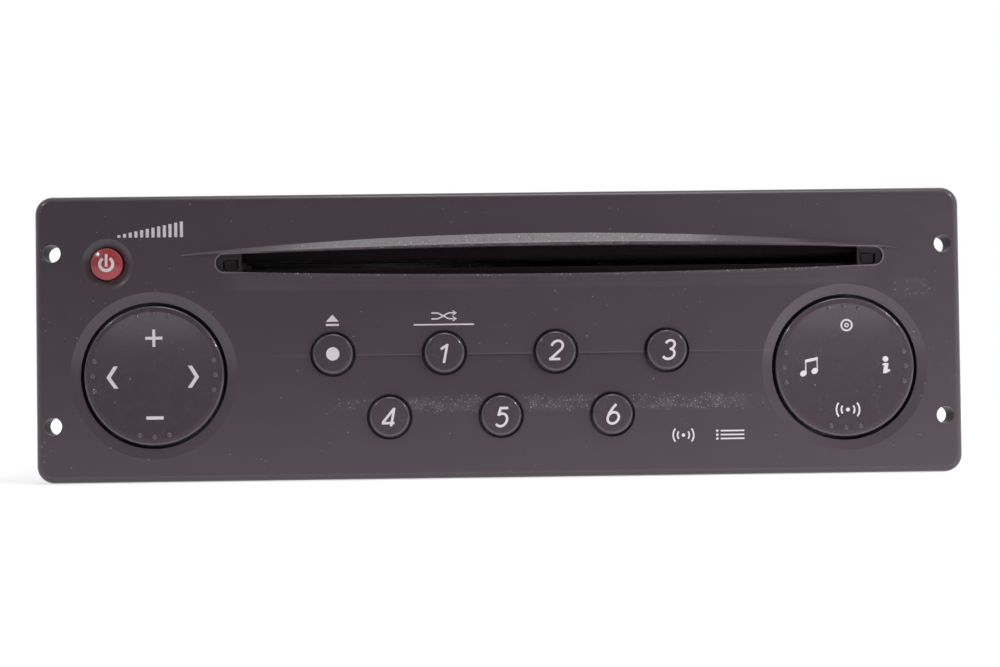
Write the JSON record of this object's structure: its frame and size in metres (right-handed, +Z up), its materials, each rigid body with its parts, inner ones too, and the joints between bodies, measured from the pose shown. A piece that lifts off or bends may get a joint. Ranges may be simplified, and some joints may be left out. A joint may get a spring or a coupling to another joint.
{
  "type": "car cd radio",
  "caption": "Slot-loading car radio and disc player for a single-height dashboard slot, with round preset keys, two rocker pads, steel case and rear sockets.",
  "frame": {"origin": "centre of the front panel's rear flange plane, where it meets the dashboard sleeve", "axes": "+X right as the driver sees the panel, +Y into the dashboard, +Z up; the panel faces -Y"},
  "size_m": [0.188, 0.1778, 0.058],
  "materials": {
    "panel_plastic": "fine satin texture",
    "key_plastic": "satin",
    "red_plastic": "satin red",
    "felt": "black felt",
    "clear_plastic": "smoked clear",
    "grey_plastic": "moulded acetal",
    "silicone_rubber": "matt silicone",
    "board_laminate": "green solder mask",
    "black_plastic": "moulded black",
    "screw_steel": "zinc plated",
    "zinc_steel": "galvanised sheet",
    "spring_steel": "bright spring strip",
    "aluminium": "cast and extruded",
    "brass": "turned",
    "tinned_brass": "tin plated",
    "can_sleeve": "shrink sleeve",
    "fuse_plastic": "tinted",
    "ribbon_plastic": "flat cable"
  },
  "bodies": {
    "root": {"amplifier_chip": "black_plastic", "amplifier_clamp": "zinc_steel", "antenna_socket": "tinned_brass", "board_screws": "screw_steel", "capacitors": "can_sleeve", "case_screws": "screw_steel", "chassis": "zinc_steel", "clamp_pin": "screw_steel", "damper_bushes": "silicone_rubber", "deck_frame": "zinc_steel", "disc_guide": "grey_plastic", "faceplate": "panel_plastic", "front_connector": "black_plastic", "front_pcb": "board_laminate", "fuse": "fuse_plastic", "fuse_holder": "black_plastic", "guide_rods": "screw_steel", "heatsink": "aluminium", "iso_connector": "black_plastic", "iso_contacts": "tinned_brass", "keymat": "silicone_rubber", "load_motor": "aluminium", "main_pcb": "board_laminate", "pad_carriers": "grey_plastic", "rear_panel": "zinc_steel", "rear_stud": "screw_steel", "ribbon_cable": "ribbon_plastic", "servo_pcb": "board_laminate", "sled_motor": "aluminium", "slot_felts": "felt", "slot_light_guides": "clear_plastic", "spindle_motor": "aluminium", "top_cover": "zinc_steel", "traverse_plate": "zinc_steel", "tuner_can": "zinc_steel"},
    "power_key": {"power_button": "red_plastic"},
    "eject_key": {"eject_button": "key_plastic"},
    "preset_key_1": {"preset_button_1": "key_plastic"},
    "preset_key_2": {"preset_button_2": "key_plastic"},
    "preset_key_3": {"preset_button_3": "key_plastic"},
    "preset_key_4": {"preset_button_4": "key_plastic"},
    "preset_key_5": {"preset_button_5": "key_plastic"},
    "preset_key_6": {"preset_button_6": "key_plastic"},
    "left_cross": {"left_gimbal": "grey_plastic"},
    "left_rocker": {"left_pad": "key_plastic"},
    "right_cross": {"right_gimbal": "grey_plastic"},
    "right_rocker": {"right_pad": "key_plastic"},
    "left_latch": {"latch_spring_left": "spring_steel"},
    "right_latch": {"latch_spring_right": "spring_steel"},
    "feed_roller": {"roller_shaft": "screw_steel", "feed_rollers": "silicone_rubber"},
    "feed_idler": {"load_gear": "grey_plastic"},
    "feed_pinion": {"load_pinion": "brass"},
    "disc_table": {"turntable": "grey_plastic"},
    "disc_clamp_arm": {"clamp_arm": "zinc_steel"},
    "disc_clamp": {"clamp_puck": "grey_plastic"},
    "laser_sled": {"pickup_sled": "grey_plastic"},
    "sled_idler": {"sled_gear": "grey_plastic"},
    "sled_drive": {"sled_pinion": "brass"}
  },
  "joints": [
    {"name": "power_press", "type": "slide", "parent": "root", "child": "power_key", "axis": [0, 1, 0], "range_m": [0, 0.0008], "stiffness_N_per_m": 1200, "deforming": ["keymat"]},
    {"name": "eject_press", "type": "slide", "parent": "root", "child": "eject_key", "axis": [0, 1, 0], "range_m": [0, 0.0008], "stiffness_N_per_m": 1200, "deforming": ["keymat"]},
    {"name": "preset_1_press", "type": "slide", "parent": "root", "child": "preset_key_1", "axis": [0, 1, 0], "range_m": [0, 0.0008], "stiffness_N_per_m": 1200, "deforming": ["keymat"]},
    {"name": "preset_2_press", "type": "slide", "parent": "root", "child": "preset_key_2", "axis": [0, 1, 0], "range_m": [0, 0.0008], "stiffness_N_per_m": 1200, "deforming": ["keymat"]},
    {"name": "preset_3_press", "type": "slide", "parent": "root", "child": "preset_key_3", "axis": [0, 1, 0], "range_m": [0, 0.0008], "stiffness_N_per_m": 1200, "deforming": ["keymat"]},
    {"name": "preset_4_press", "type": "slide", "parent": "root", "child": "preset_key_4", "axis": [0, 1, 0], "range_m": [0, 0.0008], "stiffness_N_per_m": 1200, "deforming": ["keymat"]},
    {"name": "preset_5_press", "type": "slide", "parent": "root", "child": "preset_key_5", "axis": [0, 1, 0], "range_m": [0, 0.0008], "stiffness_N_per_m": 1200, "deforming": ["keymat"]},
    {"name": "preset_6_press", "type": "slide", "parent": "root", "child": "preset_key_6", "axis": [0, 1, 0], "range_m": [0, 0.0008], "stiffness_N_per_m": 1200, "deforming": ["keymat"]},
    {"name": "left_pad_tip", "type": "hinge", "parent": "root", "child": "left_cross", "pos_m": [-0.07015, -0.0054, -0.00745], "axis": [1, 0, 0], "range_deg": [-3, 3], "stiffness_Nm_per_rad": 0.23},
    {"name": "left_pad_rock", "type": "hinge", "parent": "left_cross", "child": "left_rocker", "pos_m": [-0.07015, -0.0054, -0.00745], "axis": [0, 0, 1], "range_deg": [-3, 3], "stiffness_Nm_per_rad": 0.23},
    {"name": "right_pad_tip", "type": "hinge", "parent": "root", "child": "right_cross", "pos_m": [0.07015, -0.0054, -0.00745], "axis": [1, 0, 0], "range_deg": [-3, 3], "stiffness_Nm_per_rad": 0.23},
    {"name": "right_pad_rock", "type": "hinge", "parent": "right_cross", "child": "right_rocker", "pos_m": [0.07015, -0.0054, -0.00745], "axis": [0, 0, 1], "range_deg": [-3, 3], "stiffness_Nm_per_rad": 0.23},
    {"name": "left_latch_flex", "type": "hinge", "parent": "root", "child": "left_latch", "pos_m": [-0.089, 0.015, 0], "axis": [0, 0, -1], "range_deg": [0, 3.8], "stiffness_Nm_per_rad": 2.6},
    {"name": "right_latch_flex", "type": "hinge", "parent": "root", "child": "right_latch", "pos_m": [0.089, 0.015, 0], "axis": [0, 0, 1], "range_deg": [0, 3.8], "stiffness_Nm_per_rad": 2.6},
    {"name": "feed_roller_spin", "type": "hinge", "parent": "root", "child": "feed_roller", "pos_m": [0.0104, 0.014, 0.0102], "axis": [1, 0, 0], "continuous": true},
    {"name": "feed_idler_spin", "type": "hinge", "parent": "root", "child": "feed_idler", "pos_m": [-0.0602, 0.02434, 0.012], "axis": [1, 0, 0], "continuous": true},
    {"name": "feed_pinion_spin", "type": "hinge", "parent": "root", "child": "feed_pinion", "pos_m": [-0.0602, 0.03284, 0.012], "axis": [1, 0, 0], "continuous": true},
    {"name": "disc_spin", "type": "hinge", "parent": "root", "child": "disc_table", "pos_m": [0.0104, 0.068, 0.013], "axis": [0, 0, 1], "continuous": true},
    {"name": "clamp_lift", "type": "hinge", "parent": "root", "child": "disc_clamp_arm", "pos_m": [0.0104, 0.141, 0.0195], "axis": [-1, 0, 0], "range_deg": [0, 1.9], "stiffness_Nm_per_rad": 0.3, "springref_deg": -11.46},
    {"name": "clamp_spin", "type": "hinge", "parent": "disc_clamp_arm", "child": "disc_clamp", "pos_m": [0.0104, 0.068, 0.019], "axis": [0, 0, 1], "continuous": true},
    {"name": "sled_travel", "type": "slide", "parent": "root", "child": "laser_sled", "axis": [0, 1, 0], "range_m": [0, 0.034]},
    {"name": "sled_idler_spin", "type": "hinge", "parent": "root", "child": "sled_idler", "pos_m": [0.0348, 0.104, 0.009], "axis": [0, 0, 1], "range_deg": [-655, 0]},
    {"name": "sled_drive_spin", "type": "hinge", "parent": "root", "child": "sled_drive", "pos_m": [0.04055, 0.11396, 0.009], "axis": [0, 0, 1], "range_deg": [0, 2345]}
  ],
  "couplings": [
    {"joint": "feed_idler_spin", "follows": "feed_roller_spin", "ratio": -0.75},
    {"joint": "feed_pinion_spin", "follows": "feed_roller_spin", "ratio": 1.8},
    {"joint": "sled_idler_spin", "follows": "sled_travel", "rad_per_m": -333.33},
    {"joint": "sled_drive_spin", "follows": "sled_travel", "rad_per_m": 1200}
  ]
}
